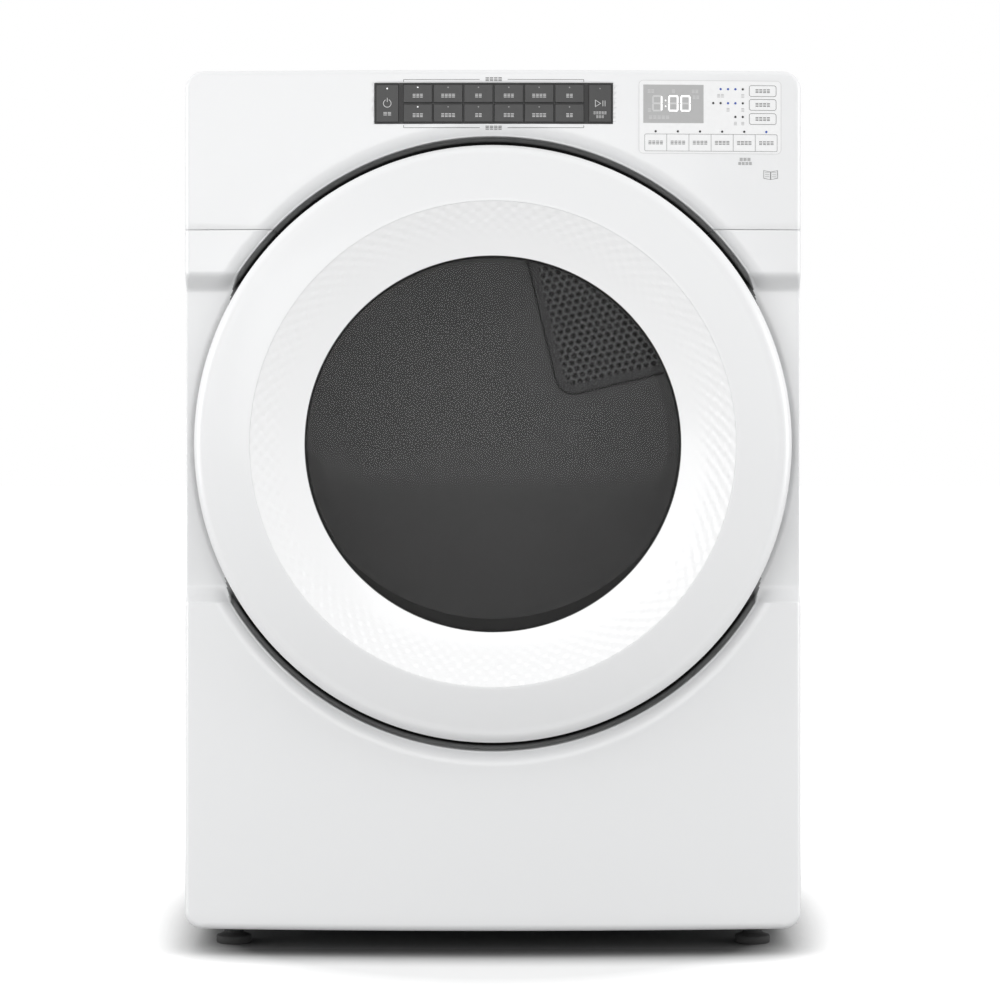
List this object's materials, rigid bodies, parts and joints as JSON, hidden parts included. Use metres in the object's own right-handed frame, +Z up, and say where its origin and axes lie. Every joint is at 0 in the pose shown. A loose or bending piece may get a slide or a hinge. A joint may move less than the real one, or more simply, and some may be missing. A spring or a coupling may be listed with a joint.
{
  "type": "clothes dryer",
  "caption": "Front-loading vented clothes dryer with a bowed front, a round glazed door in a deep recess and a key strip beside a display.",
  "frame": {"origin": "on the floor, under the middle of the machine's bounding box", "axes": "+Z up, the door faces -Y, +X to the right of someone who faces the door"},
  "size_m": [0.686, 0.79, 0.984],
  "materials": {
    "white_paint": "smooth white enamel, semi-gloss",
    "white_plastic": "smooth white moulding, gloss",
    "textured_white": "white moulding with a fine dimple texture",
    "smoked_window": "smoked clear pane",
    "dark_key": "dark grey satin keys with pale marks",
    "black_plastic": "near-black satin moulding",
    "display_face": "white membrane with a grey display window",
    "galvanised": "zinc-coated sheet, faint spangle",
    "drum_steel": "bright satin steel",
    "grey_plastic": "mid-grey moulding",
    "rubber": "black rubber",
    "felt": "pressed felt",
    "duct_metal": "plain thin duct metal",
    "motor_steel": "dark motor enamel",
    "circuit_board": "green circuit board"
  },
  "bodies": {
    "cabinet": {"base_pan": "galvanised", "left_side_panel": "white_paint", "right_side_panel": "white_paint", "rear_panel": "galvanised", "top_panel": "white_paint", "front_panel": "white_paint", "console_fascia": "white_plastic", "key_bezel": "black_plastic", "display_overlay": "display_face", "control_board": "circuit_board", "front_bulkhead": "galvanised", "front_drum_seal": "felt", "rear_bulkhead": "galvanised", "inlet_grille": "drum_steel", "door_catch": "grey_plastic", "hinge_bracket": "galvanised", "motor_housing": "motor_steel", "motor_mount": "galvanised", "blower_housing": "grey_plastic", "exhaust_duct": "duct_metal", "heater_housing": "galvanised", "drive_belt": "rubber", "cord_gland": "black_plastic"},
    "door": {"door_frame": "white_plastic", "door_bezel": "textured_white", "door_window": "smoked_window", "door_inner_panel": "grey_plastic", "door_inner_glass": "smoked_window", "door_gasket": "rubber", "door_strike": "galvanised", "door_hinge_arm": "galvanised"},
    "drum": {"drum_shell": "drum_steel", "drum_baffle_1": "grey_plastic", "drum_baffle_2": "grey_plastic", "drum_baffle_3": "grey_plastic"},
    "motor_shaft": {"motor_rotor": "motor_steel", "blower_wheel": "grey_plastic"},
    "idler_arm": {"idler_arm": "galvanised"},
    "idler_pulley": {"idler_pulley": "grey_plastic"},
    "lint_filter": {"lint_filter": "grey_plastic"},
    "roller_left": {"roller_left": "rubber"},
    "roller_right": {"roller_right": "rubber"},
    "foot_front_left": {"foot_front_left": "rubber"},
    "foot_front_right": {"foot_front_right": "rubber"},
    "foot_rear_left": {"foot_rear_left": "rubber"},
    "foot_rear_right": {"foot_rear_right": "rubber"},
    "key_power": {"key_power": "dark_key"},
    "key_start_pause": {"key_start_pause": "dark_key"},
    "key_program_1": {"key_program_1": "dark_key"},
    "key_program_2": {"key_program_2": "dark_key"},
    "key_program_3": {"key_program_3": "dark_key"},
    "key_program_4": {"key_program_4": "dark_key"},
    "key_program_5": {"key_program_5": "dark_key"},
    "key_program_6": {"key_program_6": "dark_key"},
    "key_program_7": {"key_program_7": "dark_key"},
    "key_program_8": {"key_program_8": "dark_key"},
    "key_program_9": {"key_program_9": "dark_key"},
    "key_program_10": {"key_program_10": "dark_key"},
    "key_program_11": {"key_program_11": "dark_key"},
    "key_program_12": {"key_program_12": "dark_key"}
  },
  "joints": [
    {"name": "door_hinge", "type": "hinge", "parent": "cabinet", "child": "door", "pos_m": [0.316, -0.336, 0.5695], "axis": [0, 0, 1], "range_deg": [0, 100]},
    {"name": "drum_spin", "type": "hinge", "parent": "cabinet", "child": "drum", "pos_m": [0, 0, 0.5695], "axis": [0, 1, 0], "continuous": true},
    {"name": "blower_motor_spin", "type": "hinge", "parent": "cabinet", "child": "motor_shaft", "pos_m": [-0.13, 0, 0.165], "axis": [0, 1, 0], "continuous": true},
    {"name": "idler_arm_swing", "type": "hinge", "parent": "cabinet", "child": "idler_arm", "pos_m": [-0.05, 0, 0.2], "axis": [0, 1, 0], "range_deg": [0, 12], "stiffness_Nm_per_rad": 10},
    {"name": "idler_pulley_spin", "type": "hinge", "parent": "idler_arm", "child": "idler_pulley", "pos_m": [0.0097, 0, 0.215], "axis": [0, 1, 0], "continuous": true},
    {"name": "lint_filter_slide", "type": "slide", "parent": "cabinet", "child": "lint_filter", "axis": [0, 0, 1], "range_m": [0, 0.2]},
    {"name": "roller_left_spin", "type": "hinge", "parent": "cabinet", "child": "roller_left", "pos_m": [-0.227, 0, 0.299], "axis": [0, 1, 0], "continuous": true},
    {"name": "roller_right_spin", "type": "hinge", "parent": "cabinet", "child": "roller_right", "pos_m": [0.227, 0, 0.299], "axis": [0, 1, 0], "continuous": true},
    {"name": "foot_screw_front_left", "type": "slide", "parent": "cabinet", "child": "foot_front_left", "axis": [0, 0, -1], "range_m": [0, 0.02]},
    {"name": "foot_screw_front_right", "type": "slide", "parent": "cabinet", "child": "foot_front_right", "axis": [0, 0, -1], "range_m": [0, 0.02]},
    {"name": "foot_screw_rear_left", "type": "slide", "parent": "cabinet", "child": "foot_rear_left", "axis": [0, 0, -1], "range_m": [0, 0.02]},
    {"name": "foot_screw_rear_right", "type": "slide", "parent": "cabinet", "child": "foot_rear_right", "axis": [0, 0, -1], "range_m": [0, 0.02]},
    {"name": "key_power_press", "type": "slide", "parent": "cabinet", "child": "key_power", "axis": [0, 1, 0], "range_m": [0, 0.0008], "stiffness_N_per_m": 400},
    {"name": "key_start_pause_press", "type": "slide", "parent": "cabinet", "child": "key_start_pause", "axis": [0, 1, 0], "range_m": [0, 0.0008], "stiffness_N_per_m": 400},
    {"name": "key_program_1_press", "type": "slide", "parent": "cabinet", "child": "key_program_1", "axis": [0, 1, 0], "range_m": [0, 0.0008], "stiffness_N_per_m": 400},
    {"name": "key_program_2_press", "type": "slide", "parent": "cabinet", "child": "key_program_2", "axis": [0, 1, 0], "range_m": [0, 0.0008], "stiffness_N_per_m": 400},
    {"name": "key_program_3_press", "type": "slide", "parent": "cabinet", "child": "key_program_3", "axis": [0, 1, 0], "range_m": [0, 0.0008], "stiffness_N_per_m": 400},
    {"name": "key_program_4_press", "type": "slide", "parent": "cabinet", "child": "key_program_4", "axis": [0, 1, 0], "range_m": [0, 0.0008], "stiffness_N_per_m": 400},
    {"name": "key_program_5_press", "type": "slide", "parent": "cabinet", "child": "key_program_5", "axis": [0, 1, 0], "range_m": [0, 0.0008], "stiffness_N_per_m": 400},
    {"name": "key_program_6_press", "type": "slide", "parent": "cabinet", "child": "key_program_6", "axis": [0, 1, 0], "range_m": [0, 0.0008], "stiffness_N_per_m": 400},
    {"name": "key_program_7_press", "type": "slide", "parent": "cabinet", "child": "key_program_7", "axis": [0, 1, 0], "range_m": [0, 0.0008], "stiffness_N_per_m": 400},
    {"name": "key_program_8_press", "type": "slide", "parent": "cabinet", "child": "key_program_8", "axis": [0, 1, 0], "range_m": [0, 0.0008], "stiffness_N_per_m": 400},
    {"name": "key_program_9_press", "type": "slide", "parent": "cabinet", "child": "key_program_9", "axis": [0, 1, 0], "range_m": [0, 0.0008], "stiffness_N_per_m": 400},
    {"name": "key_program_10_press", "type": "slide", "parent": "cabinet", "child": "key_program_10", "axis": [0, 1, 0], "range_m": [0, 0.0008], "stiffness_N_per_m": 400},
    {"name": "key_program_11_press", "type": "slide", "parent": "cabinet", "child": "key_program_11", "axis": [0, 1, 0], "range_m": [0, 0.0008], "stiffness_N_per_m": 400},
    {"name": "key_program_12_press", "type": "slide", "parent": "cabinet", "child": "key_program_12", "axis": [0, 1, 0], "range_m": [0, 0.0008], "stiffness_N_per_m": 400}
  ],
  "couplings": [
    {"joint": "blower_motor_spin", "follows": "drum_spin", "ratio": 26.2},
    {"joint": "idler_pulley_spin", "follows": "drum_spin", "ratio": -13.2},
    {"joint": "roller_left_spin", "follows": "drum_spin", "ratio": -8.4},
    {"joint": "roller_right_spin", "follows": "drum_spin", "ratio": -8.4}
  ]
}
